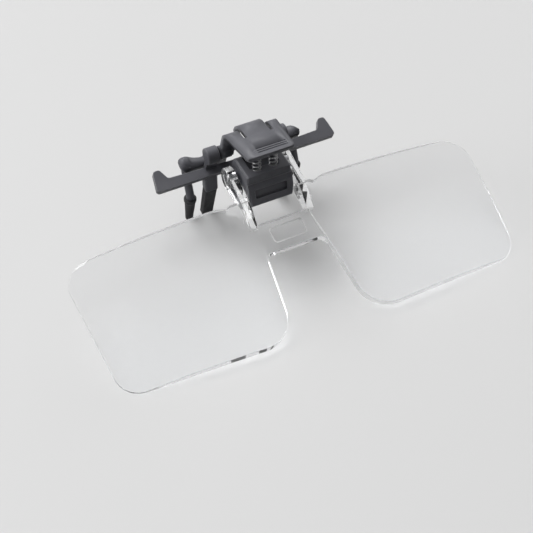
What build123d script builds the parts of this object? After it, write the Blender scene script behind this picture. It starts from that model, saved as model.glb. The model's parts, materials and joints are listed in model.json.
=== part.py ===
from build123d import *
import math
import os

# Clip-on loupe for spectacles. One clear moulding with two lenses hangs on a cross axle in a
# small dark housing. The housing sits on a hook bar with two fixed legs. Behind it a thumb tab
# with two thin legs rocks on a pin, and two springs keep the legs closed on the spectacles.
# Millimetres. The pieces are drawn with the flip axle along X through zero, the lenses level
# and reaching to -Y. At the end everything leans forward until the leg tips and the far lens
# edge stand on the ground, which is how the loupe lies on a table.

# Lens unit: the two lenses
LENS_SPAN = 115.2
LENS_TAPER = 2.4
LENS_NEAR = 6.5
LENS_LONG = 40.1
LENS_NEAR_FALL = 1.1
LENS_FAR_FALL = 1.8
NOSE_GAP = 12.8
NOSE_FLARE = 4.3
LENS_CORNER_OUT_NEAR = 7.0
LENS_CORNER_IN_NEAR = 9.0
LENS_CORNER_IN_FAR = 8.5
LENS_CORNER_OUT_FAR = 6.5
FRONT_APEX_X = 21.4
LENS_THICK = 3.22
LENS_CORNER_THICK = 0.55
BACK_CURVE = 500.0
BACK_APEX_X = 12.0
BACK_APEX_Z = -2.0
LENS_EDGE_ROUND = 0.2
EDGE_ROUND = 0.25

# Lens unit: the bridge plate and the two ears
BRIDGE_NEAR = 14.6
BRIDGE_FAR = 23.1
BRIDGE_THICK = 2.4
BRIDGE_WELD = 1.0
NOTCH_ROUND = 1.6
WEB_NEAR = 7.0
WEB_FAR = 16.6
WEB_HALF = 13.0
WEB_ROUND = 2.4
EAR_IN = 7.0
EAR_THICK = 2.1
EAR_BOSS_R = 3.2
EAR_OUTLINE_SHARES = (
    (0.0, 1.0), (-0.56, 1.0), (-0.76, 0.76), (-1.05, 0.06),
    (-1.05, -0.72), (-0.46, -0.52), (-0.26, -0.74), (0.0, -1.0),
)
EAR_SOFTNESS = 1.6
PANEL_LONG = 9.4
PANEL_WIDE = 4.6
PANEL_ROUND = 1.0
PANEL_LINE = 0.3
PANEL_DEEP = 0.3
PANEL_BACK = 18.7

# Flip axle, washers and the friction brake behind the front cover
AXLE_R = 1.2
AXLE_FIT = 0.03
AXLE_SEAT = 1.4
WASHER_R = 2.6
WASHER_THICK = 0.4
SEAT_GAP = 0.02
SHOE_R = 1.6
SHOE_BACK = 0.5
SHOE_LONG = 2.9
BRAKE_R = 1.1
BRAKE_WIRE = 0.35
BRAKE_TURNS = 2

# Housing
HOUSE_HALF = 6.1
HOUSE_TOP = 6.9
HOUSE_TOP_FALL = 2.1
HOUSE_BROW = 4.8
HOUSE_FACE = 5.5
HOUSE_REAR = 3.5
HOUSE_BEVEL = 1.2
HOUSE_BASE = 4.1
CHIN_REACH = 1.3
CHIN_HIGH = 0.65
BROW_Z = 4.8
SIDE_WALL = 1.9
RIM_DEEP = 2.6
REAR_WALL = 1.0
WELL_FLOOR = 3.3
HOUSE_SOFT = 0.3

# Front cover
COVER_HALF = 6.2
COVER_LIP_HALF = 5.6
COVER_TAPER_Y = 7.8
COVER_BROW_Y = 6.75
COVER_BROW_Z = 3.7
COVER_LIP_Y = 9.4
COVER_LIP_Z = -0.3
COVER_CHIN_Y = 8.2
COVER_CHIN_Z = -2.7
COVER_LIP_ROUND = 1.1
RECESS_HALF = 4.5
RECESS_TOP = 0.3
RECESS_HIGH = 2.6
RECESS_DEEP = 0.7
RECESS_ROUND = 0.5
SNAP_HALF = 1.1
SNAP_LONG = 1.3
SNAP_THICK = 0.7
SNAP_X = 3.9

# Hook bar, its fixed legs and the two pivot knuckles
BAR_HALF = 25.8
BAR_FRONT = 4.9
BAR_DEEP = 2.9
BAR_WAIST = 0.8
BAR_THICK = 1.7
BAR_RISE_DEG = 6.0
HOOK_REACH = 2.9
HOOK_LEAN = 1.0
HOOK_TIP = 1.8
HOOK_ROOT = 4.2
HOOK_ROUND = 0.85
TONGUE_HALF = 5.5
TONGUE_REACH = 6.4
LEG_STEP = 5.0
LEG_WIDE = 3.5
LEG_THICK = 2.5
LEG_ROOT_Y = 6.1
LEG_SHOULDER_Y = 4.5
LEG_SHOULDER_Z = -9.9
LEG_TIP_Y = 3.8
LEG_TIP_Z = -22.6
CORE_WIDE = 1.8
CORE_THICK = 1.4
BOOT_WIDE = 3.2
BOOT_THICK = 2.8
BOOT_TIP_SHARE = 0.9
BOOT_FACET = 0.4
BOOT_CAP = 1.4
KNUCKLE_R = 2.3
KNUCKLE_IN = 8.25
KNUCKLE_WIDE = 3.2
LUG_THICK = 1.2
SCREW_X = 3.7
SCREW_Y = -3.9
SCREW_R = 0.6
SCREW_LONG = 4.2
SCREW_HEAD_R = 1.1
SCREW_HEAD = 0.7
SCREW_SLOT = 0.3

# Thumb jaw: tab, straps, saddle arms and thin legs
PIVOT_Y = 7.8
PIVOT_Z = 0.6
TAB_FRONT = 4.0
TAB_TOP = 15.0
TAB_SLOPE_DEG = 25.3
TAB_THICK = 1.3
TAB_HALF = 6.45
TAB_REAR_HALF = 7.35
TAB_CORNER = 1.1
STRAP_REAR = 8.6
STRAP_THICK = 1.4
STRAP_BEND = 3.2
STRAP_FOOT = -1.9
LIP_REAR = 11.0
LIP_BEND = 5.5
LIP_FOOT = 3.9
SLOT_X = 3.7
SLOT_SHIFT = 0.6
SLOT_WIDE = 0.9
SLOT_FROM = 4.3
GRIP_COUNT = 3
GRIP_HALF = 4.2
GRIP_SHIFT = 1.1
GRIP_PITCH = 0.8
GRIP_WIDE = 0.3
GRIP_DEEP = 0.25
GRIP_FIRST = 1.9
BOSS_R = 1.8
BOSS_OUT = 7.9
PIN_R = 0.6
PIN_FIT = 0.03
PIN_HALF = 10.9
ARM_HALF = 16.8
ARM_Y = 10.1
ARM_Z = -4.3
ARM_R = 2.0
ARM_WALL = 1.4
ARM_ROOF = 1.0
ARM_SKIRT = 1.8
HEEL_TOP = 1.4
DIP_INSET = 6.0
DIP_R = 7.0
DIP_DEEP = 1.8
MOUTH_DROP = 0.3
ARM_BEVEL_DEG = 30
MOUTH_LIP = 0.5
THIN_INSET = 1.4
THIN_R = 1.1
THIN_ROOT_Y = 10.4
THIN_KNEE_Y = 10.2
THIN_KNEE_Z = -7.2
THIN_ANKLE_Y = 5.3
THIN_ANKLE_Z = -13.2
THIN_TIP_Y = 3.7
THIN_TIP_Z = -23.2
THIN_BEND = 2.2
THIN_CORE_R = 0.7
SLEEVE_START_SHARE = 0.08
SLEEVE_RIM_R = 1.7
SLEEVE_RIM = 0.9
SLEEVE_R = 1.45
SLEEVE_TIP_R = 1.0
SLEEVE_CAP = 1.2

# Jaw springs, standing in pockets in the housing's front rim
SPRING_X = 2.3
SPRING_Y = -1.3
SPRING_Z = 8.5
SPRING_R = 1.05
SPRING_WIRE = 0.4
SPRING_TURNS = 7
SPRING_FLOOR = 4.4
SPRING_PLAY = 0.1
POCKET_GAP = 0.15

HALF_TURN_ARCS = 2
LEAN_MOST_DEG = 45
LEAN_HALVINGS = 24
OVERRUN = 40.0

# Places that follow from these sizes
LENS_MID = LENS_NEAR + LENS_LONG / 2
THIN_X = ARM_HALF - THIN_INSET
LEG_X = THIN_X - LEG_STEP


def outline(points, radii):
    """Closed face in its own plane, with a radius for each corner."""
    return make_face(FilletPolyline(*points, radius=radii, close=True))


def side_on(face, start, end):
    """Side profile drawn in Y and Z, drawn out along X from start to end."""
    return extrude(Plane.YZ.offset(start) * face, end - start)


def rod(radius, start, end, y=0, z=0):
    """Round bar along X."""
    return side_on(Pos(y, z) * Circle(radius), start, end)


def block(x, y, z):
    """Box between two limits on each axis."""
    size = Box(x[1] - x[0], y[1] - y[0], z[1] - z[0])
    return Pos(sum(x) / 2, sum(y) / 2, sum(z) / 2) * size


def both(half):
    """A right-hand solid together with its mirror image."""
    return half + mirror(half, Plane.YZ)


def tangent_arcs(points, tangents):
    """Two smooth arcs between each point of a path and the next."""
    edges = []
    for p, q, t, u in zip(points, points[1:], tangents, tangents[1:]):
        chord = q - p
        spread = 2 * (1 - t.dot(u))
        along = chord.dot(t + u)
        reach = (math.sqrt(along**2 + spread * chord.dot(chord)) - along) / spread
        joint = (p + q + (t - u) * reach) / 2
        edges.append(Edge.make_tangent_arc(p, t, joint))
        edges.append(Edge.make_tangent_arc(joint, (q - p - (t + u) * reach).normalized(), q))
    return edges


def coil(radius, wire, turns, length):
    """Compression spring along Z from zero, one unbroken tube; also returns its least gap."""
    rise = length - wire
    per_turn = 2 * HALF_TURN_ARCS
    points, tangents = [], []
    for step in range(turns * per_turn + 1):
        angle = 2 * math.pi * step / per_turn
        height = wire / 2 + rise * step / (turns * per_turn)
        points.append(Vector(radius * math.cos(angle), radius * math.sin(angle), height))
        slope = rise / (2 * math.pi * turns)
        tangents.append(Vector(-radius * math.sin(angle), radius * math.cos(angle), slope).normalized())
    path = Wire(tangent_arcs(points, tangents))
    section = Plane(origin=points[0], z_dir=tangents[0]) * Circle(wire / 2)
    gaps = [
        (points[i] - points[j]).length - wire
        for i in range(len(points)) for j in range(i + per_turn // 2, len(points))
    ]
    return sweep(section, path=path), min(gaps)


def lens_outline():
    """Plan of the right lens."""
    near, far = -LENS_NEAR, -LENS_NEAR - LENS_LONG
    corners = [
        (LENS_SPAN / 2, near - LENS_NEAR_FALL),
        (NOSE_GAP / 2, near),
        (NOSE_GAP / 2 + NOSE_FLARE, far),
        (LENS_SPAN / 2 - LENS_TAPER, far + LENS_FAR_FALL),
    ]
    radii = [LENS_CORNER_OUT_NEAR, LENS_CORNER_IN_NEAR, LENS_CORNER_IN_FAR, LENS_CORNER_OUT_FAR]
    return outline(corners, radii)


def back_ball():
    """Ball whose top is the hollow back of the right lens."""
    return Pos(BACK_APEX_X, -LENS_MID, BACK_APEX_Z - BACK_CURVE) * Sphere(BACK_CURVE)


def front_ball():
    """Ball whose top is the front of the right lens, thinning to the near outer corner."""
    cut = LENS_CORNER_OUT_NEAR * (1 - math.sqrt(1 / 2))
    x, y = LENS_SPAN / 2 - cut, LENS_LONG / 2 - LENS_NEAR_FALL - cut
    back_fall = BACK_CURVE - math.sqrt(BACK_CURVE**2 - (x - BACK_APEX_X)**2 - y**2)
    fall = LENS_THICK - LENS_CORNER_THICK + back_fall
    curve = ((x - FRONT_APEX_X)**2 + y**2 + fall**2) / (2 * fall)
    return Pos(FRONT_APEX_X, -LENS_MID, BACK_APEX_Z + LENS_THICK - curve) * Sphere(curve)


def lens():
    """Right lens: steep curve in front, shallow hollow behind, both centred near the nose."""
    blank = Pos(0, 0, -OVERRUN / 2) * extrude(lens_outline(), OVERRUN)
    body = (blank & front_ball()) - back_ball()
    faces = body.faces().sort_by(Axis.Z)
    rims = faces[-1].outer_wire().edges() + faces[0].outer_wire().edges()
    return fillet(rims, LENS_EDGE_ROUND)


def nose_side(back):
    """Half the distance between the lenses at a place that far before the axle."""
    return NOSE_GAP / 2 + NOSE_FLARE * (back - LENS_NEAR) / LENS_LONG


def bridge():
    """Plate between the lenses, with a rounded notch over the nose."""
    foot = BRIDGE_FAR + NOTCH_ROUND
    near_half, far_half = nose_side(BRIDGE_NEAR) + BRIDGE_WELD, nose_side(foot) + BRIDGE_WELD
    plate = make_face(Polyline(
        (-near_half, -BRIDGE_NEAR), (near_half, -BRIDGE_NEAR), (far_half, -foot), (-far_half, -foot),
        close=True,
    ))
    notch_half = nose_side(BRIDGE_FAR)
    notch = outline(
        [
            (-notch_half, -BRIDGE_FAR), (notch_half, -BRIDGE_FAR),
            (notch_half, -BRIDGE_FAR - OVERRUN), (-notch_half, -BRIDGE_FAR - OVERRUN),
        ],
        [NOTCH_ROUND, NOTCH_ROUND, 0, 0],
    )
    body = extrude(plate - notch, -BRIDGE_THICK) - both(back_ball())
    frame = RectangleRounded(PANEL_LONG, PANEL_WIDE, PANEL_ROUND)
    frame -= RectangleRounded(
        PANEL_LONG - 2 * PANEL_LINE, PANEL_WIDE - 2 * PANEL_LINE, PANEL_ROUND - PANEL_LINE
    )
    return body - extrude(Pos(0, -PANEL_BACK) * frame, -PANEL_DEEP)


def ear():
    """Right ear: a thick plate that rises from the bridge to a round hinge boss."""
    points = [(a * BRIDGE_NEAR, b * EAR_BOSS_R) for a, b in EAR_OUTLINE_SHARES]
    radii = [0, EAR_SOFTNESS, EAR_SOFTNESS, EDGE_ROUND, EDGE_ROUND, EAR_SOFTNESS, EAR_SOFTNESS, 0]
    plate = side_on(outline(points, radii), EAR_IN, EAR_IN + EAR_THICK)
    plate += rod(EAR_BOSS_R, EAR_IN, EAR_IN + EAR_THICK)
    outside = plate.faces().sort_by(Axis.X)[-1].outer_wire().edges()
    plate = fillet(outside, EDGE_ROUND)
    web = outline(
        [(EAR_IN, -WEB_NEAR), (WEB_HALF, -WEB_NEAR), (WEB_HALF, -WEB_FAR), (EAR_IN, -WEB_FAR)],
        [0, WEB_ROUND, 0, 0],
    )
    return plate + (extrude(web, -BRIDGE_THICK) - back_ball())


def lens_unit():
    """Both lenses, the bridge and the ears, moulded in one clear piece."""
    half = lens() + ear()
    body = bridge() + half + mirror(half, Plane.YZ)
    return body - rod(AXLE_R + SEAT_GAP, -EAR_IN - AXLE_SEAT, EAR_IN + AXLE_SEAT)


def flip_axle():
    """Steel axle held in the two ears."""
    end = EAR_IN + AXLE_SEAT - SEAT_GAP
    return rod(AXLE_R, -end, end)


def hinge_washer():
    """Right washer between housing and ear."""
    out = EAR_IN - SEAT_GAP
    return rod(WASHER_R, out - WASHER_THICK, out) - rod(AXLE_R + AXLE_FIT, 0, EAR_IN)


def friction_shoe():
    """Plunger that bears on the axle and holds the lenses where they are put."""
    body = Pos(0, -SHOE_BACK) * Rot(90) * extrude(Circle(SHOE_R), SHOE_LONG)
    return body - rod(AXLE_R + AXLE_FIT, -SHOE_R, SHOE_R)


def friction_spring():
    """Small spring between the shoe and the front cover."""
    room = HOUSE_FACE - SHOE_BACK - SHOE_LONG - 2 * SEAT_GAP
    spring, gap = coil(BRAKE_R, BRAKE_WIRE, BRAKE_TURNS, room)
    return Pos(0, -SHOE_BACK - SHOE_LONG - SEAT_GAP) * Rot(90) * spring, gap


def along_springs(shape, lean, height):
    """Place a shape at the right spring's axis, where that axis reaches a height."""
    back = SPRING_Y + (height - SPRING_Z) * math.tan(math.radians(lean))
    return Pos(SPRING_X, back, height) * Rot(-lean) * shape


def housing(lean):
    """Block round the flip axle with an open well under the thumb tab."""
    rear_top = HOUSE_TOP - HOUSE_TOP_FALL
    block_side = outline(
        [
            (-HOUSE_BROW, HOUSE_TOP),
            (HOUSE_REAR - HOUSE_BEVEL, rear_top),
            (HOUSE_REAR, rear_top - HOUSE_BEVEL),
            (HOUSE_REAR, -HOUSE_BASE),
            (-HOUSE_FACE - CHIN_REACH / 2, -HOUSE_BASE),
            (-HOUSE_FACE - CHIN_REACH, -HOUSE_BASE + CHIN_HIGH / 2),
            (-HOUSE_FACE - CHIN_REACH, -HOUSE_BASE + CHIN_HIGH),
            (-HOUSE_FACE, -HOUSE_BASE + CHIN_HIGH),
            (-HOUSE_FACE, BROW_Z),
        ],
        [HOUSE_SOFT, HOUSE_BEVEL, HOUSE_BEVEL, 0, HOUSE_SOFT, 0, 0, 0, 0],
    )
    body = side_on(block_side, -HOUSE_HALF, HOUSE_HALF)
    edges = body.faces().sort_by(Axis.X)[-1].edges() + body.faces().sort_by(Axis.X)[0].edges()
    body = chamfer(edges.filter_by(lambda e: e.center().Z > BROW_Z), HOUSE_SOFT)
    wide = HOUSE_HALF - SIDE_WALL
    body -= block(
        (-wide, wide), (-HOUSE_BROW + RIM_DEEP, HOUSE_REAR - REAR_WALL), (WELL_FLOOR, OVERRUN)
    )
    seat_r = SPRING_R + SPRING_WIRE / 2
    seat = extrude(Circle(seat_r), -2 * (SPRING_FLOOR - WELL_FLOOR))
    body += both(along_springs(seat, lean, SPRING_FLOOR))
    pocket = extrude(Circle(seat_r + POCKET_GAP), OVERRUN)
    body -= both(along_springs(pocket, lean, SPRING_FLOOR))
    boss_end = EAR_IN - WASHER_THICK - 2 * SEAT_GAP
    body += rod(WASHER_R, -boss_end, boss_end)
    body -= rod(AXLE_R + AXLE_FIT, -OVERRUN, OVERRUN)
    body -= Rot(90) * extrude(Circle(SHOE_R + SEAT_GAP), HOUSE_FACE)
    body -= both(Pos(SCREW_X, SCREW_Y, -HOUSE_BASE) * extrude(Circle(SCREW_R + SEAT_GAP), SCREW_LONG))
    return body - both(snap_tongue(SEAT_GAP))


def snap_tongue(spare=0):
    """Right tongue on the back of the front cover, or its slot in the housing."""
    return block(
        (SNAP_X - SNAP_HALF - spare, SNAP_X + SNAP_HALF + spare),
        (-HOUSE_FACE, -HOUSE_FACE + SNAP_LONG + spare),
        (BROW_Z - 2 * SNAP_THICK - spare, BROW_Z - SNAP_THICK + spare),
    )


def front_cover():
    """Cover over the brake: a slanted face with a bare recessed panel, a rounded lip below."""
    base = -HOUSE_BASE + CHIN_HIGH
    side = outline(
        [
            (-HOUSE_FACE, BROW_Z - SEAT_GAP), (-COVER_BROW_Y, COVER_BROW_Z),
            (-COVER_LIP_Y, COVER_LIP_Z), (-COVER_CHIN_Y, COVER_CHIN_Z),
            (-HOUSE_FACE - CHIN_REACH, base), (-HOUSE_FACE, base),
        ],
        [0, HOUSE_SOFT / 2, COVER_LIP_ROUND, COVER_LIP_ROUND, 0, 0],
    )
    body = side_on(side, -COVER_HALF, COVER_HALF)
    plan = outline(
        [
            (-COVER_HALF, OVERRUN), (-COVER_HALF, -COVER_TAPER_Y), (-COVER_LIP_HALF, -COVER_LIP_Y),
            (COVER_LIP_HALF, -COVER_LIP_Y), (COVER_HALF, -COVER_TAPER_Y), (COVER_HALF, OVERRUN),
        ],
        [0, COVER_LIP_ROUND, HOUSE_SOFT, HOUSE_SOFT, COVER_LIP_ROUND, 0],
    )
    body &= Pos(0, 0, -OVERRUN / 2) * extrude(plan, OVERRUN)
    dy, dz = COVER_LIP_Y - COVER_BROW_Y, COVER_BROW_Z - COVER_LIP_Z
    face_plane = Plane(origin=(0, -COVER_BROW_Y, COVER_BROW_Z), x_dir=(1, 0, 0), z_dir=(0, -dz, dy))
    recess = RectangleRounded(2 * RECESS_HALF, RECESS_HIGH, RECESS_ROUND)
    recess = Pos(0, -RECESS_TOP - RECESS_HIGH / 2) * recess
    body -= extrude(face_plane.offset(-RECESS_DEEP) * recess, OVERRUN)
    return body + both(snap_tongue())


def bar_plane():
    """Underside of the bar, rising gently to the rear."""
    rise = math.radians(BAR_RISE_DEG)
    return Plane(
        origin=(0, BAR_FRONT, -HOUSE_BASE - BAR_THICK), x_dir=(1, 0, 0),
        z_dir=(0, -math.sin(rise), math.cos(rise)),
    )


def knuckle():
    """Right lug that rises from the bar to the knob round the pivot pin."""
    foot = -HOUSE_BASE - BAR_THICK / 2
    rear = BAR_FRONT + BAR_DEEP
    end = KNUCKLE_IN + KNUCKLE_WIDE
    lug = block((KNUCKLE_IN, end), (rear - LUG_THICK, rear), (foot, PIVOT_Z))
    knob = rod(KNUCKLE_R, KNUCKLE_IN, end, PIVOT_Y, PIVOT_Z)
    knob = fillet(knob.faces().sort_by(Axis.X)[-1].edges(), HOUSE_SOFT)
    bore = rod(PIN_R + SEAT_GAP, KNUCKLE_IN - HOUSE_SOFT, PIN_HALF + SEAT_GAP, PIVOT_Y, PIVOT_Z)
    return lug + knob - bore


def leg_plane(share):
    """Plane across the right fixed leg, a share of the way from shoulder to tip."""
    dy, dz = LEG_TIP_Y - LEG_SHOULDER_Y, LEG_TIP_Z - LEG_SHOULDER_Z
    return Plane(
        origin=(LEG_X, LEG_SHOULDER_Y + share * dy, LEG_SHOULDER_Z + share * dz),
        x_dir=(1, 0, 0), z_dir=(0, dy, dz),
    )


def boot_length():
    """Length of a fixed leg below its shoulder."""
    return math.hypot(LEG_TIP_Y - LEG_SHOULDER_Y, LEG_TIP_Z - LEG_SHOULDER_Z)


def leg_core(spare=0):
    """Bare end of the right fixed leg, or the hollow in its boot."""
    section = Rectangle(CORE_WIDE + 2 * spare, CORE_THICK + 2 * spare)
    return extrude(leg_plane(0) * section, boot_length() - BOOT_CAP + spare)


def fixed_leg():
    """Right fixed leg: a flat shank to the shoulder, and the core inside the boot."""
    foot = -HOUSE_BASE - BAR_THICK / 2
    half = LEG_THICK / 2
    low = BOOT_THICK / 2
    side = make_face(Polyline(
        (LEG_ROOT_Y - half, foot), (LEG_ROOT_Y + half, foot),
        (LEG_SHOULDER_Y + low, LEG_SHOULDER_Z), (LEG_SHOULDER_Y - low, LEG_SHOULDER_Z), close=True,
    ))
    shank = side_on(side, LEG_X - LEG_WIDE / 2, LEG_X + LEG_WIDE / 2)
    upright = shank.edges().filter_by(lambda e: abs(e.tangent_at(0).Z) > abs(e.tangent_at(0).Y))
    shank = split(chamfer(upright, HOUSE_SOFT), bisect_by=leg_plane(0), keep=Keep.BOTTOM)
    return shank + leg_core()


def front_boot():
    """Right rubber boot over the fixed leg's core."""
    section = chamfer(Rectangle(BOOT_WIDE, BOOT_THICK).vertices(), BOOT_FACET)
    tip = scale(section, by=BOOT_TIP_SHARE)
    body = loft([leg_plane(0) * section, leg_plane(1) * tip], ruled=True)
    end = body.faces().sort_by(Axis.Z)[0].edges()
    return chamfer(end, BOOT_FACET) - leg_core(SEAT_GAP)


def hook_bar():
    """Rear bar with its end hooks, screw tongue, knuckles and fixed legs in one piece."""
    plan = outline(
        [
            (0, 0), (BAR_HALF, 0),
            (BAR_HALF - HOOK_LEAN, BAR_DEEP + HOOK_REACH),
            (BAR_HALF - HOOK_LEAN - HOOK_TIP, BAR_DEEP + HOOK_REACH),
            (BAR_HALF - HOOK_ROOT, BAR_DEEP), (0, BAR_DEEP - BAR_WAIST),
        ],
        [0, HOOK_ROUND, HOOK_ROUND, HOOK_ROUND, HOOK_ROUND, 0],
    )
    body = both(extrude(bar_plane() * plan, BAR_THICK))
    body += block(
        (-TONGUE_HALF, TONGUE_HALF), (-TONGUE_REACH, BAR_FRONT + BAR_DEEP / 2),
        (-HOUSE_BASE - BAR_THICK, -HOUSE_BASE),
    )
    body += both(knuckle() + fixed_leg())
    return body - both(Pos(SCREW_X, SCREW_Y, -HOUSE_BASE - BAR_THICK) * screw_shape(SEAT_GAP))


def screw_shape(spare=0):
    """Flat-headed screw standing on its head at zero, or the room it needs."""
    head = extrude(Circle(SCREW_HEAD_R + spare), SCREW_HEAD + spare)
    return head + extrude(Circle(SCREW_R + spare), SCREW_LONG)


def bar_screw():
    """Right screw, driven from below through the tongue into the housing."""
    slot = Box(2 * SCREW_HEAD_R, SCREW_SLOT, SCREW_SLOT)
    long = SCREW_LONG - SEAT_GAP
    shape = screw_shape() & Pos(0, 0, long / 2) * Box(OVERRUN, OVERRUN, long)
    return Pos(SCREW_X, SCREW_Y, -HOUSE_BASE - BAR_THICK) * (shape - Pos(0, 0, SCREW_SLOT / 2) * slot)


def tab_height(y, below=0):
    """Height of the tab's top face at a place along Y, or of a face that far below it."""
    slope = math.radians(TAB_SLOPE_DEG)
    return TAB_TOP - (y + TAB_FRONT) * math.tan(slope) - below / math.cos(slope)


def bent_strip(rear, foot, thick, bend):
    """Side profile of a strip along the tab that bends down at the rear."""
    inside = rear - thick
    return outline(
        [
            (-TAB_FRONT, tab_height(-TAB_FRONT)), (rear, tab_height(rear)), (rear, foot),
            (inside, foot), (inside, tab_height(inside, TAB_THICK)),
            (-TAB_FRONT, tab_height(-TAB_FRONT, TAB_THICK)),
        ],
        [HOUSE_SOFT, bend, HOUSE_SOFT, HOUSE_SOFT, bend - TAB_THICK, HOUSE_SOFT],
    )


def tab():
    """Thumb tab with its centre lip, grip grooves and the two straps down to the pivot."""
    slot_out = SLOT_X + SLOT_WIDE / 2
    slot_in = SLOT_X - SLOT_WIDE / 2
    strap = bent_strip(STRAP_REAR, STRAP_FOOT, STRAP_THICK, STRAP_BEND)
    lip = bent_strip(LIP_REAR, LIP_FOOT, TAB_THICK, LIP_BEND)
    body = side_on(strap, -TAB_REAR_HALF, SLOT_SHIFT - slot_out)
    body += side_on(strap, SLOT_SHIFT + slot_out, TAB_REAR_HALF)
    body += side_on(lip, SLOT_SHIFT - slot_in, SLOT_SHIFT + slot_in)
    bridge_strip = strap & make_face(
        Polyline((-OVERRUN, OVERRUN), (SLOT_FROM, OVERRUN), (SLOT_FROM, -OVERRUN),
                 (-OVERRUN, -OVERRUN), close=True)
    )
    body += side_on(bridge_strip, SLOT_SHIFT - slot_out, SLOT_SHIFT + slot_out)
    plan = outline(
        [
            (-TAB_HALF, -TAB_FRONT), (TAB_HALF, -TAB_FRONT), (TAB_REAR_HALF, STRAP_REAR),
            (TAB_REAR_HALF, OVERRUN), (-TAB_REAR_HALF, OVERRUN), (-TAB_REAR_HALF, STRAP_REAR),
        ],
        [TAB_CORNER, TAB_CORNER, 0, 0, 0, 0],
    )
    body &= Pos(0, 0, -OVERRUN / 2) * extrude(plan, OVERRUN)
    top = Plane(
        origin=(0, -TAB_FRONT, TAB_TOP), x_dir=(1, 0, 0),
        z_dir=(0, math.sin(math.radians(TAB_SLOPE_DEG)), math.cos(math.radians(TAB_SLOPE_DEG))),
    )
    for n in range(GRIP_COUNT):
        groove = Pos(GRIP_SHIFT, GRIP_FIRST + n * GRIP_PITCH) * Rectangle(2 * GRIP_HALF, GRIP_WIDE)
        body -= extrude(top * groove, -GRIP_DEEP)
    return body


def saddle_arm():
    """Right arm: a small arched shell behind the knuckle that carries the thin leg."""
    inner = strap_inside()
    arch = rod(ARM_R, inner, ARM_HALF, ARM_Y, ARM_Z)
    arch = fillet(arch.faces().sort_by(Axis.X)[-1].edges(), ARM_R / 4)
    arch += block((inner, ARM_HALF - ARM_R / 4), (ARM_Y - ARM_R, ARM_Y + ARM_R),
                  (ARM_Z - ARM_SKIRT, ARM_Z))
    hollow = ARM_R - ARM_WALL
    roof = ARM_Z + ARM_R - DIP_DEEP - ARM_ROOF
    arch -= block((0, THIN_X - THIN_R), (ARM_Y - hollow, ARM_Y + hollow), (roof - ARM_SKIRT, roof))
    arch -= block((THIN_X - THIN_R, ARM_HALF + ARM_R),
                  (ARM_Y - ARM_R + MOUTH_LIP, ARM_Y + 2 * ARM_R),
                  (ARM_Z - 2 * ARM_SKIRT, ARM_Z - MOUTH_DROP))
    arch -= Pos(ARM_HALF, ARM_Y, ARM_Z) * Rot(0, 0, ARM_BEVEL_DEG) * block(
        (0, ARM_HALF), (-ARM_R, OVERRUN), (-OVERRUN, OVERRUN)
    )
    top = ARM_Z + ARM_R + DIP_R - DIP_DEEP
    return arch - Pos(ARM_HALF - DIP_INSET, 0, top) * Rot(90) * Cylinder(DIP_R, OVERRUN)


def strap_inside():
    """Inner side of the wider strap, where bosses, heels and arms start."""
    return SLOT_X + SLOT_WIDE / 2 + SLOT_SHIFT


def heel():
    """Right gusset from the strap's foot back to the arm."""
    side = make_face(Polyline(
        (STRAP_REAR - STRAP_THICK, STRAP_FOOT), (STRAP_REAR - STRAP_THICK, HEEL_TOP),
        (STRAP_REAR, HEEL_TOP), (ARM_Y, ARM_Z + ARM_R), (ARM_Y, ARM_Z + ARM_R - ARM_WALL),
        (ARM_Y - ARM_R, ARM_Z), close=True,
    ))
    return side_on(side, strap_inside(), BOSS_OUT)


def thin_leg():
    """Right thin leg, and its core inside the sleeve."""
    ankle = (THIN_X, THIN_ANKLE_Y, THIN_ANKLE_Z)
    start = Vector(THIN_X, THIN_ROOT_Y, ARM_Z + ARM_WALL / 2)
    knee = (THIN_X, THIN_KNEE_Y, THIN_KNEE_Z)
    path = FilletPolyline(start, knee, ankle, sleeve_point(SLEEVE_START_SHARE), radius=THIN_BEND)
    section = Plane(origin=start, z_dir=path % 0) * Circle(THIN_R)
    core = extrude(sleeve_plane() * Circle(THIN_CORE_R), sleeve_length() - SLEEVE_CAP)
    return sweep(section, path=path) + core


def sleeve_point(share):
    """Place a share of the way from the right thin leg's ankle to its tip."""
    dy, dz = THIN_TIP_Y - THIN_ANKLE_Y, THIN_TIP_Z - THIN_ANKLE_Z
    return Vector(THIN_X, THIN_ANKLE_Y + share * dy, THIN_ANKLE_Z + share * dz)


def sleeve_length():
    """Length of a sleeve."""
    return (sleeve_point(1) - sleeve_point(SLEEVE_START_SHARE)).length


def sleeve_plane():
    """Plane across the right thin leg where its sleeve starts."""
    return Plane(
        origin=sleeve_point(SLEEVE_START_SHARE), x_dir=(1, 0, 0),
        z_dir=sleeve_point(1) - sleeve_point(0),
    )


def rear_sleeve():
    """Right rubber sleeve: a rim, then a slow taper to a rounded tip."""
    long = sleeve_length()
    bore = THIN_CORE_R + SEAT_GAP
    half = outline(
        [
            (bore, 0), (SLEEVE_RIM_R, 0), (SLEEVE_RIM_R, SLEEVE_RIM), (SLEEVE_R, 2 * SLEEVE_RIM),
            (SLEEVE_TIP_R, long), (0, long), (0, long - SLEEVE_CAP + SEAT_GAP),
            (bore, long - SLEEVE_CAP + SEAT_GAP),
        ],
        [0, HOUSE_SOFT, HOUSE_SOFT, HOUSE_SOFT, SLEEVE_TIP_R - 2 * SEAT_GAP, 0, 0, 0],
    )
    return sleeve_plane() * revolve(Plane.XZ * half, Axis.Z)


def thumb_jaw():
    """Tab, straps, pivot bosses, arms and thin legs, moulded in one piece."""
    boss = rod(BOSS_R, strap_inside(), BOSS_OUT, PIVOT_Y, PIVOT_Z)
    body = tab() + both(boss + heel() + saddle_arm() + thin_leg())
    return body - rod(PIN_R + PIN_FIT, -OVERRUN, OVERRUN, PIVOT_Y, PIVOT_Z)


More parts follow.
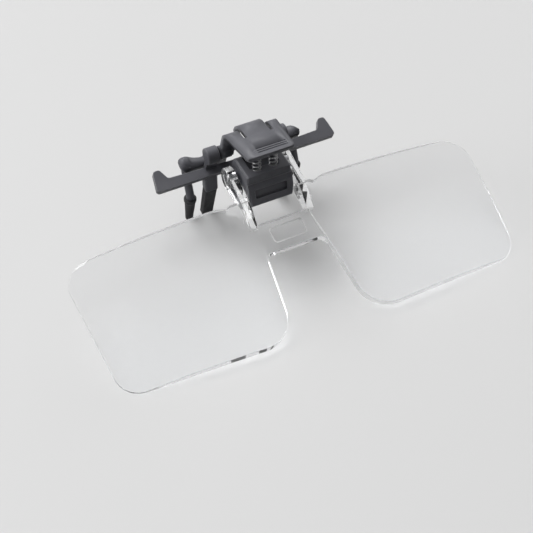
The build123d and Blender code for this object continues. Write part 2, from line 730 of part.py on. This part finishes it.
def jaw_pin():
    """Steel pin through the jaw's bosses into both knuckles."""
    return rod(PIN_R, -PIN_HALF, PIN_HALF, PIVOT_Y, PIVOT_Z)


def jaw_spring(lean):
    """Right spring from its pocket to the underside of the tab."""
    slope = math.tan(math.radians(lean))
    over = tab_height(SPRING_Y, TAB_THICK) - SPRING_Z
    top = SPRING_Z + over / (1 + slope * math.tan(math.radians(TAB_SLOPE_DEG)))
    long = (top - SPRING_FLOOR) / math.cos(math.radians(lean)) - 2 * SPRING_PLAY
    spring, gap = coil(SPRING_R, SPRING_WIRE, SPRING_TURNS, long)
    return along_springs(Pos(0, 0, SPRING_PLAY) * spring, lean, SPRING_FLOOR), gap


def lean_angle(lenses, sleeve):
    """Angle in degrees that brings lens edge and leg tips to the same ground."""
    def low(shape, angle):
        return shape.rotate(Axis.X, angle).bounding_box().min.Z

    low_angle, high_angle = 0, LEAN_MOST_DEG
    for _ in range(LEAN_HALVINGS):
        middle = (low_angle + high_angle) / 2
        if low(lenses, middle) > low(sleeve, middle):
            low_angle = middle
        else:
            high_angle = middle
    return middle


def main():
    """Build every piece, lean the whole part, stand it on the ground and write the files."""
    lenses = lens_unit()
    sleeve = rear_sleeve()
    lean = lean_angle(lenses, sleeve)
    spring, spring_gap = jaw_spring(lean)
    brake, brake_gap = friction_spring()
    print("lean", round(lean, 4), "least spring gaps", round(spring_gap, 3), round(brake_gap, 3))
    pieces = {
        "lens_unit": lenses,
        "flip_axle": flip_axle(),
        "friction_shoe": friction_shoe(),
        "friction_spring": brake,
        "housing": housing(lean),
        "front_cover": front_cover(),
        "hook_bar": hook_bar(),
        "thumb_jaw": thumb_jaw(),
        "jaw_pin": jaw_pin(),
    }
    pairs = {
        "hinge_washer": hinge_washer(),
        "front_boot": front_boot(),
        "rear_sleeve": sleeve,
        "bar_screw": bar_screw(),
        "jaw_spring": spring,
    }
    for name, right in pairs.items():
        pieces[name + "_right"] = right
        pieces[name + "_left"] = mirror(right, Plane.YZ)
    leaned = {name: shape.rotate(Axis.X, lean) for name, shape in pieces.items()}
    box = Compound([solid for shape in leaned.values() for solid in shape.solids()]).bounding_box()
    home = Pos(-box.center().X, -box.center().Y, -box.min.Z)
    os.makedirs("parts", exist_ok=True)
    for name, shape in leaned.items():
        export_step(home * shape, f"parts/{name}.step")
    print("axle at", (home * Pos(0, 0, 0)).position, "size", box.size)


main()
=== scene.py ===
import bpy
import bmesh
import json
import math
from mathutils import Matrix, Vector


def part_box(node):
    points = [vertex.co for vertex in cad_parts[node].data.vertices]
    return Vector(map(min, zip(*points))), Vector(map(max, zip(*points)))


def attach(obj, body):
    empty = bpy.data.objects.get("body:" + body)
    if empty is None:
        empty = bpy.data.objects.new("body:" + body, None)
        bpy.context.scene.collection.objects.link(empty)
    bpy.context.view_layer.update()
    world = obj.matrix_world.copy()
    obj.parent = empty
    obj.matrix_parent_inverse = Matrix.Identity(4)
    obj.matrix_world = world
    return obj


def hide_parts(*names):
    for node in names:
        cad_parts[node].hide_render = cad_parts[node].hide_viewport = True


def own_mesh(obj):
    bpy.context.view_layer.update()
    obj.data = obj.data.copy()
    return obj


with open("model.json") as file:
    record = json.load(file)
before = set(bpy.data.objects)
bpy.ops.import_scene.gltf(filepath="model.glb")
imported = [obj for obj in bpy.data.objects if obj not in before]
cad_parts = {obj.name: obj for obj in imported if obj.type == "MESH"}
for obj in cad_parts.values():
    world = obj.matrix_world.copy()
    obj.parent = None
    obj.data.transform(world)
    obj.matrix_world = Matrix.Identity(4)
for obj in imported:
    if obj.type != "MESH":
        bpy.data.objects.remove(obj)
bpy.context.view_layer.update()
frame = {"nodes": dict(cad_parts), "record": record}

# Looks of a clip-on loupe for spectacles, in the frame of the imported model. Blender works in
# metres. Named lengths are in millimetres, but where they carry MM, and for the camera's
# clipping, the floor and the lights, they are in metres.
MM = 0.001

# Camera, found by fitting the lens outlines to the photograph's 533 by 533 pixels
PHOTO_SIDE = 533
FOCAL_PIXELS = 1500
CAMERA_AIM = Vector((-9.372, -9.085, 10.0)) * MM
CAMERA_AZIMUTH = math.radians(-24.585)
CAMERA_ELEVATION = math.radians(43.684)
CAMERA_ROLL = math.radians(-1.948)
CAMERA_DISTANCE = 375.50 * MM
CAMERA_NEAR, CAMERA_FAR = 0.01, 20
SENSOR = 36.0

# Small pieces and the arms' tools are drawn level with the lenses from the flip axle, then leaned
LEAN = math.radians(21.8655)

# Frosted line in the groove of the bridge, and how far its faces lie below the bridge's face
PANEL_BACK = 18.7
PANEL_LONG, PANEL_WIDE, PANEL_ROUND = 9.36, 4.56, 0.98
PANEL_LINE, PANEL_DEEP, PANEL_SUNK = 0.26, 0.29, 0.12
PANEL_CORNER_STEPS = 6

# Middle line of both saddle arms, back from the axle and up from it, and the arms' sides along x
ARM_AT = (10.1, -4.3)
LEFT, RIGHT = -1, 1

# Small moulded buttons on the arms' fronts; seat and root are measured from the arm's middle line
# and below the seat, and the top ring is the one at which the dome would close
PIP_X, PIP_RISE = 15.3, math.radians(27)
PIP_SEAT, PIP_ROOT, PIP_HIGH, PIP_RADIUS = 1.98, 0.1, 0.2, 0.3
PIP_RINGS, PIP_TOP_RING, PIP_SIDES = 6, 5.5, 16

# Saddles: distance from the clip's middle, and the height left over the arm's middle line there,
# measured leaning back by the tilt. The arms' ends differ, as in the photograph.
SADDLE_TILT = math.radians(62.4)
SADDLE_REACH = 3.4
SADDLE = [
    (8.0, 2.3), (8.8, 1.4), (9.6, 0.85), (10.6, 0.57), (11.7, 0.7), (12.8, 0.96), (13.9, 1.35),
]
SADDLE_END = {
    LEFT: [(14.6, 1.7), (15.5, 2.08), (16.2, 2.5)],
    RIGHT: [(14.9, 1.25), (15.65, 0.65), (16.3, 0.0), (16.9, -0.65), (17.4, -1.3)],
}

# Rounded end of the left arm: distance from the clip's middle and radius there. Below, it is flat
# at the drop under the middle line. The weld closes the seams that the cuts leave.
ARM_END = [
    (14.6, 1.9), (15.6, 1.99), (16.3, 1.99), (16.75, 1.86), (17.05, 1.62), (17.25, 1.24),
    (17.34, 0.7),
]
ARM_END_DROP, ARM_END_SIDES = 0.3, 32
WELD = 0.002

# Jaw springs: wire across, turns, those of them that lie closed at each end, steps a turn and
# sides of the wire.
SPRING_WIRE, SPRING_TURNS, SPRING_CLOSED = 0.4, 7, 0.9
SPRING_STEPS, SPRING_SIDES = 24, 10

# Finishes: colours, sizes of their patterns, depths of their bumps, and least and most roughness
FINE_SAMPLES = 6
NOISE_SPAN = (0.3, 0.7)
EDGE_SPAN = (0.85, 1.0)
# Range of ambient occlusion that turns into painted shade in corners and recesses
PAINTED_SHADE_SPAN = (0.3, 0.85)

PLASTIC_FLAT, PLASTIC_DARK, PLASTIC_LIGHT = (
    (0.12, 0.12, 0.135), (0.096, 0.097, 0.110), (0.118, 0.119, 0.133))
# Lighter colour on sharp edges: partly rubbed wear, partly painted highlight.
# Very dark colour painted into corners and recesses as shade.
PLASTIC_RUB_HIGHLIGHT_COLOUR, PLASTIC_SHADE_PAINTED_COLOUR = (0.30, 0.30, 0.32), (0.022, 0.023, 0.03)
PLASTIC_CLOUD, PLASTIC_GRAIN, PLASTIC_GRAIN_DEEP = 6, 0.09, 0.012
PLASTIC_RUB_HIGHLIGHT_WIDTH, PLASTIC_RUB_HIGHLIGHT_SHARE, PLASTIC_SHADE_PAINTED_REACH, PLASTIC_SOFT = 0.3, 0.8, 1.6, 0.2
PLASTIC_ROUGH = (0.36, 0.52)

RUBBER_FLAT, RUBBER_BLACK, RUBBER_DUSTY = (
    (0.02, 0.02, 0.022), (0.013, 0.013, 0.015), (0.035, 0.035, 0.037))
RUBBER_BLOOM, RUBBER_GRAIN, RUBBER_GRAIN_DEEP, RUBBER_SOFT = 1.2, 0.07, 0.01, 0.15
RUBBER_BLOOM_SPAN = (0.45, 0.75)
RUBBER_ROUGH = (0.55, 0.8)

METALS = {
    # slot: name, colour, roughness, and how much finer its lines are along x, y and z
    "steel": ("ground_steel", (0.62, 0.62, 0.64), 0.25, (40, 1, 1)),
    # Spring wire is darker than the ground steel: painted shade for springs lying under the tab.
    "spring_wire": ("spring_wire", (0.42, 0.42, 0.43), 0.3, (1, 1, 6)),
    "brass": ("turned_brass", (0.72, 0.56, 0.26), 0.3, (1, 40, 1)),
}
METAL_LINES, METAL_LINES_DEEP, METAL_TONE = 0.05, 0.002, 2
METAL_ROUGH_SHARES, METAL_DULL_SHARE = (0.7, 1.4), 0.85

NYLON_COLOUR, NYLON_GRAIN, NYLON_ROUGH = (0.03, 0.03, 0.032), 0.2, (0.38, 0.55)

ACRYLIC_COLOUR, ACRYLIC_SHADE, ACRYLIC_IOR = (0.965, 0.968, 0.972), (0.86, 0.865, 0.87), 1.49
ACRYLIC_EDGE, ACRYLIC_EDGE_ROUGH = 0.35, 0.35
ACRYLIC_WAVE, ACRYLIC_WAVE_DEEP = 3, 0.004
# Light caught inside the lenses is let out after this many bounces
LENS_BOUNCES = 4.5

FROST_COLOUR, FROST_CLEAR, FROST_GRAIN, FROST_ROUGH = (0.9, 0.9, 0.9), 0.4, 0.3, (0.5, 0.7)

# Floor, sky and lights. The sky runs from the front's strength to its own as a direction turns
# towards where it comes from, and the camera sees the plain backdrop in its place.
FLOOR_SIDE = 6.0
FLOOR_COLOUR = (0.59, 0.59, 0.59)
FLOOR_ROUGHNESS = 0.6
BACKDROP = 0.80
SKY_FROM = (0.0, 0.45, 0.8)
SKY_STRENGTH = 0.60
FRONT_STRENGTH = 0.05
SKY_SPAN = (-0.35, 0.9)
LIGHTS = {
    # name: place and side in metres, power in watts
    "back_panel": ((-0.60, 1.50, 2.22), 1.80, 60.0),
    "left_panel": ((-2.70, 0.66, 1.26), 1.50, 26.0),
    "right_panel": ((2.55, 1.80, 1.50), 1.50, 20.0),
}


class Material:
    """A node material round one Principled shader.

    Sockets given by name stay as flat values where no node is linked to them, and for viewers that
    don't follow the nodes. An underscore stands for a space.
    """

    def __init__(self, name, colour, **sockets):
        self.made = bpy.data.materials.new(name)
        self.made.use_nodes = True
        self.tree = self.made.node_tree
        self.shader = self.tree.nodes["Principled BSDF"]
        self.shader.inputs["Base Color"].default_value = (*colour, 1)
        for socket, value in sockets.items():
            self.shader.inputs[socket.replace("_", " ")].default_value = value

    def node(self, kind, **settings):
        made = self.tree.nodes.new("ShaderNode" + kind)
        for name, value in settings.items():
            setattr(made, name, value)
        return made

    def link(self, source, target):
        """Link two sockets; a target given by name is one of the shader's."""
        if isinstance(target, str):
            target = self.shader.inputs[target]
        self.tree.links.new(source, target)

    def noise(self, size, detail=3.0, stretch=None):
        """Noise over the object, whose grains are about that size in metres."""
        made = self.node("TexNoise")
        made.inputs["Scale"].default_value = 1 / size
        made.inputs["Detail"].default_value = detail
        where = self.node("TexCoord").outputs["Object"]
        if stretch:
            mapping = self.node("Mapping")
            mapping.inputs["Scale"].default_value = stretch
            self.link(where, mapping.inputs["Vector"])
            where = mapping.outputs["Vector"]
        self.link(where, made.inputs["Vector"])
        return made.outputs["Fac"]

    def ramp(self, value, low, high, start=0.0, end=1.0):
        """Value mapped from start..end to low..high."""
        made = self.node("MapRange")
        numbers = {"From Min": start, "From Max": end, "To Min": low, "To Max": high}
        for name, number in numbers.items():
            made.inputs[name].default_value = number
        self.link(value, made.inputs["Value"])
        return made.outputs["Result"]

    def mix(self, factor, first, second):
        """Colour between two others; a colour is a tuple or a socket."""
        made = self.node("Mix", data_type="RGBA")
        self.link(factor, made.inputs["Factor"])
        for name, colour in (("A", first), ("B", second)):
            socket = [i for i in made.inputs if i.name == name and i.type == "RGBA"][0]
            if isinstance(colour, tuple):
                socket.default_value = (*colour, 1)
            else:
                self.link(colour, socket)
        return [o for o in made.outputs if o.type == "RGBA"][0]

    def bump(self, height, depth, normal=None):
        """Bump of that depth in metres, given to the shader."""
        made = self.node("Bump")
        made.inputs["Distance"].default_value = depth
        self.link(height, made.inputs["Height"])
        if normal:
            self.link(normal, made.inputs["Normal"])
        self.link(made.outputs["Normal"], "Normal")

    def soft_edges(self, radius):
        """Rounded shading normal near sharp edges."""
        made = self.node("Bevel")
        made.samples = FINE_SAMPLES
        made.inputs["Radius"].default_value = radius
        return made.outputs["Normal"]

    def painted_shade_mask(self, reach):
        """Painted shade mask from ambient occlusion: zero in corners and recesses, one on open
        faces.
        """
        made = self.node("AmbientOcclusion")
        made.samples = FINE_SAMPLES
        made.inputs["Distance"].default_value = reach
        return self.ramp(made.outputs["AO"], 0.0, 1.0, *PAINTED_SHADE_SPAN)

    def edge_mask(self, radius):
        """One along sharp edges, zero on open faces."""
        dot = self.node("VectorMath", operation="DOT_PRODUCT")
        self.link(self.soft_edges(radius), dot.inputs[0])
        self.link(self.node("NewGeometry").outputs["Normal"], dot.inputs[1])
        return self.ramp(dot.outputs["Value"], 1.0, 0.0, *EDGE_SPAN)


def satin_plastic():
    """Slate-grey moulded plastic with fine grain, wear and painted highlight on edges, painted shade
    in corners and recesses.
    """
    made = Material("satin_plastic", PLASTIC_FLAT, Roughness=0.42, Specular_IOR_Level=0.35)
    cloud = made.ramp(made.noise(PLASTIC_CLOUD * MM, detail=2.0), 0, 1, *NOISE_SPAN)
    # Sharp edges lightened, partly as rubbed wear and partly as painted highlight
    rub_and_highlight = made.ramp(made.edge_mask(PLASTIC_RUB_HIGHLIGHT_WIDTH * MM), 0, PLASTIC_RUB_HIGHLIGHT_SHARE)
    base = made.mix(cloud, PLASTIC_DARK, PLASTIC_LIGHT)
    base = made.mix(rub_and_highlight, base, PLASTIC_RUB_HIGHLIGHT_COLOUR)
    # Corners and recesses darkened by ambient occlusion: painted shade
    base = made.mix(made.painted_shade_mask(PLASTIC_SHADE_PAINTED_REACH * MM), PLASTIC_SHADE_PAINTED_COLOUR, base)
    made.link(base, "Base Color")
    grain = made.noise(PLASTIC_GRAIN * MM, detail=2.0)
    made.link(made.ramp(grain, *PLASTIC_ROUGH, *NOISE_SPAN), "Roughness")
    made.bump(grain, PLASTIC_GRAIN_DEEP * MM, made.soft_edges(PLASTIC_SOFT * MM))
    return made.made


def rubber():
    """Soft black rubber with a dusty bloom."""
    made = Material("soft_rubber", RUBBER_FLAT, Roughness=0.7)
    bloom = made.ramp(made.noise(RUBBER_BLOOM * MM, detail=4.0), 0, 1, *RUBBER_BLOOM_SPAN)
    made.link(made.mix(bloom, RUBBER_BLACK, RUBBER_DUSTY), "Base Color")
    grain = made.noise(RUBBER_GRAIN * MM)
    made.link(made.ramp(grain, *RUBBER_ROUGH, *NOISE_SPAN), "Roughness")
    made.bump(grain, RUBBER_GRAIN_DEEP * MM, made.soft_edges(RUBBER_SOFT * MM))
    return made.made


def metal(name, colour, rough, stretch):
    """Bright metal with fine drawing, grinding or turning lines."""
    made = Material(name, colour, Metallic=1.0, Roughness=rough)
    lines = made.noise(METAL_LINES * MM, detail=2.0, stretch=stretch)
    least, most = METAL_ROUGH_SHARES
    made.link(made.ramp(lines, rough * least, rough * most, *NOISE_SPAN), "Roughness")
    dull = tuple(METAL_DULL_SHARE * c for c in colour)
    made.link(made.mix(made.noise(METAL_TONE * MM), dull, colour), "Base Color")
    made.bump(lines, METAL_LINES_DEEP * MM)
    return made.made


def nylon():
    """Plain black nylon."""
    made = Material("nylon", NYLON_COLOUR, Roughness=0.45)
    made.link(made.ramp(made.noise(NYLON_GRAIN * MM), *NYLON_ROUGH), "Roughness")
    return made.made


def acrylic():
    """Clear acrylic: polished faces, and edges left a little duller by the mould.

    It lets shadow rays by, and light that its faces have thrown back too often.
    """
    made = Material("clear_acrylic", ACRYLIC_COLOUR, Roughness=0.0, IOR=ACRYLIC_IOR,
                    Transmission_Weight=1.0)
    dull = made.edge_mask(ACRYLIC_EDGE * MM)
    made.link(made.ramp(dull, 0.0, ACRYLIC_EDGE_ROUGH), "Roughness")
    made.bump(made.noise(ACRYLIC_WAVE * MM, detail=1.0), ACRYLIC_WAVE_DEEP * MM)
    lets_by = made.node("BsdfTransparent")
    lets_by.inputs["Color"].default_value = (*ACRYLIC_SHADE, 1)
    path = made.node("LightPath")
    caught = made.node("Math", operation="GREATER_THAN")
    made.link(path.outputs["Ray Depth"], caught.inputs[0])
    caught.inputs[1].default_value = LENS_BOUNCES
    either = made.node("Math", operation="MAXIMUM")
    made.link(path.outputs["Is Shadow Ray"], either.inputs[0])
    made.link(caught.outputs["Value"], either.inputs[1])
    choice = made.node("MixShader")
    made.link(either.outputs["Value"], choice.inputs["Fac"])
    made.link(made.shader.outputs["BSDF"], choice.inputs[1])
    made.link(lets_by.outputs["BSDF"], choice.inputs[2])
    made.link(choice.outputs["Shader"], made.tree.nodes["Material Output"].inputs["Surface"])
    return made.made


def frosted():
    """Clear plastic left matt by the mould."""
    made = Material("frosted_acrylic", FROST_COLOUR, Roughness=0.6,
                    Transmission_Weight=FROST_CLEAR)
    made.link(made.ramp(made.noise(FROST_GRAIN * MM), *FROST_ROUGH), "Roughness")
    return made.made


def dress():
    """Give every CAD node its material, then add and replace what the CAD leaves to this script."""
    finishes = {
        "clear_acrylic": acrylic(),
        "dark_plastic": satin_plastic(),
        "black_rubber": rubber(),
        "black_nylon": nylon(),
    }
    for slot, values in METALS.items():
        finishes[slot] = metal(*values)
    for part in frame["record"]["subparts"]:
        node = frame["nodes"][part["node"]]
        node.data.materials.clear()
        node.data.materials.append(finishes[part["material_slot"]])
    saddled_jaw(finishes["dark_plastic"])
    frosted_line(frosted())
    arm_pip("arm_pip_left", LEFT, finishes["dark_plastic"])
    arm_pip("arm_pip_right", RIGHT, finishes["dark_plastic"])
    jaw_coil("jaw_coil_left", "jaw_spring_left", finishes["spring_wire"])
    jaw_coil("jaw_coil_right", "jaw_spring_right", finishes["spring_wire"])


def stand(x, y, z):
    """Place in the frame of a point drawn level from the flip axle, in millimetres."""
    low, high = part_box("flip_axle")
    return Matrix.Rotation(LEAN, 3, "X") @ (Vector((x, y, z)) * MM) + (low + high) / 2


def skin(name, rings, closed=False):
    """Skin over rings of points, its ends capped, or joined where it is closed."""
    shape = bmesh.new()
    rows = [[shape.verts.new(point) for point in ring] for ring in rings]
    pairs = list(zip(rows, rows[1:])) + ([(rows[-1], rows[0])] if closed else [])
    for first, second in pairs:
        for n in range(len(first)):
            m = (n + 1) % len(first)
            shape.faces.new((first[n], first[m], second[m], second[n]))
    if not closed:
        shape.faces.new(rows[0])
        shape.faces.new(rows[-1])
    bmesh.ops.recalc_face_normals(shape, faces=shape.faces)
    mesh = bpy.data.meshes.new(name)
    shape.to_mesh(mesh)
    shape.free()
    return show(name, mesh)


def show(name, data):
    """Object in the scene with that mesh, light or camera."""
    made = bpy.data.objects.new(name, data)
    bpy.context.scene.collection.objects.link(made)
    return made


def piece(made, body, finish):
    """Smooth a piece, and give it its body and finish."""
    for face in made.data.polygons:
        face.use_smooth = True
    made.data.materials.clear()
    made.data.materials.append(finish)
    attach(made, body)
    return made


def rounded(long, wide, radius, z):
    """Ring of points round a rounded rectangle on the bridge."""
    ring = []
    for side_x, side_y, start in ((1, 1, 0), (-1, 1, 1), (-1, -1, 2), (1, -1, 3)):
        for n in range(PANEL_CORNER_STEPS + 1):
            angle = math.pi / 2 * (start + n / PANEL_CORNER_STEPS)
            ring.append(stand(
                side_x * (long / 2 - radius) + radius * math.cos(angle),
                side_y * (wide / 2 - radius) + radius * math.sin(angle) - PANEL_BACK,
                z,
            ))
    return ring


def frosted_line(finish):
    """Frosted line in the groove of the bare panel on the bridge."""
    inside = (PANEL_LONG - 2 * PANEL_LINE, PANEL_WIDE - 2 * PANEL_LINE, PANEL_ROUND - PANEL_LINE)
    outside = (PANEL_LONG, PANEL_WIDE, PANEL_ROUND)
    rings = [rounded(*outside, -PANEL_DEEP), rounded(*outside, -PANEL_SUNK),
             rounded(*inside, -PANEL_SUNK), rounded(*inside, -PANEL_DEEP)]
    piece(skin("panel_line", rings, closed=True), "lenses", finish)


def arm_pip(name, side, finish):
    """Small moulded button low on the front of a saddle arm."""
    rings = []
    for n in range(PIP_RINGS):
        turn = math.pi / 2 * n / PIP_TOP_RING
        reach = PIP_SEAT + PIP_HIGH * math.sin(turn) - (PIP_ROOT if n == 0 else 0)
        ring = []
        for m in range(PIP_SIDES):
            angle = 2 * math.pi * m / PIP_SIDES
            across = PIP_RADIUS * math.cos(turn) * math.cos(angle)
            along = PIP_RADIUS * math.cos(turn) * math.sin(angle)
            ring.append(stand(
                side * PIP_X + across,
                ARM_AT[0] - reach * math.cos(PIP_RISE) + along * math.sin(PIP_RISE),
                ARM_AT[1] + reach * math.sin(PIP_RISE) + along * math.cos(PIP_RISE),
            ))
        rings.append(ring)
    piece(skin(name, rings), "jaw", finish)


def arm_cut(side):
    """Tool that takes an arm's upper rear away down to its saddle line."""
    rings = []
    for x, keep in SADDLE + SADDLE_END[side]:
        corners = ((-SADDLE_REACH, keep), (SADDLE_REACH, keep),
                   (SADDLE_REACH, SADDLE_REACH), (-SADDLE_REACH, SADDLE_REACH))
        rings.append([
            stand(
                side * x,
                ARM_AT[0] + up * math.sin(SADDLE_TILT) - along * math.cos(SADDLE_TILT),
                ARM_AT[1] + up * math.cos(SADDLE_TILT) + along * math.sin(SADDLE_TILT),
            )
            for along, up in corners
        ])
    return skin("arm_cut", rings)


def arm_end():
    """Rounded upper end of the left arm, flat below over the open mouth."""
    rings = []
    for x, radius in ARM_END:
        ring = []
        for n in range(ARM_END_SIDES):
            angle = 2 * math.pi * n / ARM_END_SIDES
            up = max(radius * math.sin(angle), -ARM_END_DROP)
            ring.append(stand(LEFT * x, ARM_AT[0] + radius * math.cos(angle), ARM_AT[1] + up))
        rings.append(ring)
    return skin("arm_end", rings)


def saddled_jaw(finish):
    """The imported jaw, its arms waisted from behind like saddles and its left arm's end rounded."""
    made = show("jaw_moulding", frame["nodes"]["thumb_jaw"].data.copy())
    tools = [
        ("UNION", arm_end()), ("DIFFERENCE", arm_cut(LEFT)), ("DIFFERENCE", arm_cut(RIGHT)),
    ]
    for operation, tool in tools:
        step = made.modifiers.new(tool.name, "BOOLEAN")
        step.operation = operation
        step.solver = "EXACT"
        step.object = tool
    cut = made.evaluated_get(bpy.context.evaluated_depsgraph_get())
    mesh = bpy.data.meshes.new_from_object(cut)
    shape = bmesh.new()
    shape.from_mesh(mesh)
    bmesh.ops.remove_doubles(shape, verts=shape.verts, dist=WELD * MM)
    shape.to_mesh(mesh)
    shape.free()
    made.modifiers.clear()
    made.data = mesh
    for _, tool in tools:
        bpy.data.objects.remove(tool)
    piece(made, "jaw", finish)
    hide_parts("thumb_jaw")


def jaw_coil(name, node, finish):
    """Compression spring with closed ends, in the box of the CAD spring that it hides."""
    low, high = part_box(node)
    middle = (low + high) / 2
    wire = SPRING_WIRE / 2 * MM
    radius = (high.x - low.x) / 2 - wire
    closed = 2 * wire * SPRING_CLOSED
    live = (high.z - low.z - 2 * wire - 2 * closed) / (SPRING_TURNS - 2 * SPRING_CLOSED)
    rings = []
    for n in range(SPRING_TURNS * SPRING_STEPS + 1):
        turn = n / SPRING_STEPS
        lead = min(turn, SPRING_CLOSED) + max(turn - SPRING_TURNS + SPRING_CLOSED, 0)
        height = low.z + wire + 2 * wire * lead + live * (turn - lead)
        out = Vector((math.cos(2 * math.pi * turn), math.sin(2 * math.pi * turn), 0))
        path = Vector((-out.y, out.x, live / (2 * math.pi * radius))).normalized()
        up = out.cross(path)
        centre = Vector((middle.x, middle.y, height)) + radius * out
        angles = [2 * math.pi * m / SPRING_SIDES for m in range(SPRING_SIDES)]
        rings.append([centre + wire * (math.cos(a) * out + math.sin(a) * up) for a in angles])
    made = piece(skin(name, rings), "clip", finish)
    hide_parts(node)
    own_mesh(made)


def floor():
    """Plain pale floor."""
    mesh = bpy.data.meshes.new("floor")
    half = FLOOR_SIDE / 2
    corners = [(-half, -half, 0), (half, -half, 0), (half, half, 0), (-half, half, 0)]
    mesh.from_pydata(corners, [], [(0, 1, 2, 3)])
    made = show("floor", mesh)
    mesh.materials.append(Material("floor_paint", FLOOR_COLOUR, Roughness=FLOOR_ROUGHNESS).made)
    made.visible_diffuse = False


def sky():
    """Studio tent, bright above and behind, dim in front, and a plain backdrop for the camera."""
    world = bpy.data.worlds.new("studio")
    bpy.context.scene.world = world
    world.use_nodes = True
    nodes, link = world.node_tree.nodes, world.node_tree.links.new
    toward = nodes.new("ShaderNodeVectorMath")
    toward.operation = "DOT_PRODUCT"
    toward.inputs[1].default_value = SKY_FROM
    link(nodes.new("ShaderNodeTexCoord").outputs["Generated"], toward.inputs[0])
    rise = nodes.new("ShaderNodeMapRange")
    rise.inputs["From Min"].default_value, rise.inputs["From Max"].default_value = SKY_SPAN
    rise.inputs["To Min"].default_value = FRONT_STRENGTH
    rise.inputs["To Max"].default_value = SKY_STRENGTH
    link(toward.outputs["Value"], rise.inputs["Value"])
    tent = nodes["Background"]
    link(rise.outputs["Result"], tent.inputs["Strength"])
    backdrop = nodes.new("ShaderNodeBackground")
    backdrop.inputs["Strength"].default_value = BACKDROP
    for light in (tent, backdrop):
        light.inputs["Color"].default_value = (1, 1, 1, 1)
    choice = nodes.new("ShaderNodeMixShader")
    link(nodes.new("ShaderNodeLightPath").outputs["Is Camera Ray"], choice.inputs["Fac"])
    link(tent.outputs["Background"], choice.inputs[1])
    link(backdrop.outputs["Background"], choice.inputs[2])
    link(choice.outputs["Shader"], nodes["World Output"].inputs["Surface"])


def panels():
    """Soft square panels, turned to the loupe."""
    for name, (place, side, power) in LIGHTS.items():
        data = bpy.data.lights.new(name, "AREA")
        data.size = side
        data.energy = power
        made = show(name, data)
        made.location = place
        made.rotation_mode = "QUATERNION"
        made.rotation_quaternion = (-Vector(place)).to_track_quat("-Z", "Y")


def camera():
    """The photograph's camera."""
    data = bpy.data.cameras.new("camera")
    data.sensor_fit = "HORIZONTAL"
    data.sensor_width = SENSOR
    data.lens = SENSOR * FOCAL_PIXELS / PHOTO_SIDE
    data.clip_start = CAMERA_NEAR
    data.clip_end = CAMERA_FAR
    made = show("camera", data)
    back = Vector((
        math.sin(CAMERA_AZIMUTH) * math.cos(CAMERA_ELEVATION),
        -math.cos(CAMERA_AZIMUTH) * math.cos(CAMERA_ELEVATION),
        math.sin(CAMERA_ELEVATION),
    ))
    turn = (-back).to_track_quat("-Z", "Y").to_matrix() @ Matrix.Rotation(CAMERA_ROLL, 3, "Z")
    made.matrix_world = Matrix.Translation(CAMERA_AIM + back * CAMERA_DISTANCE) @ turn.to_4x4()
    bpy.context.scene.camera = made


camera()
floor()
sky()
panels()
dress()
bpy.context.scene.view_settings.view_transform = "Standard"
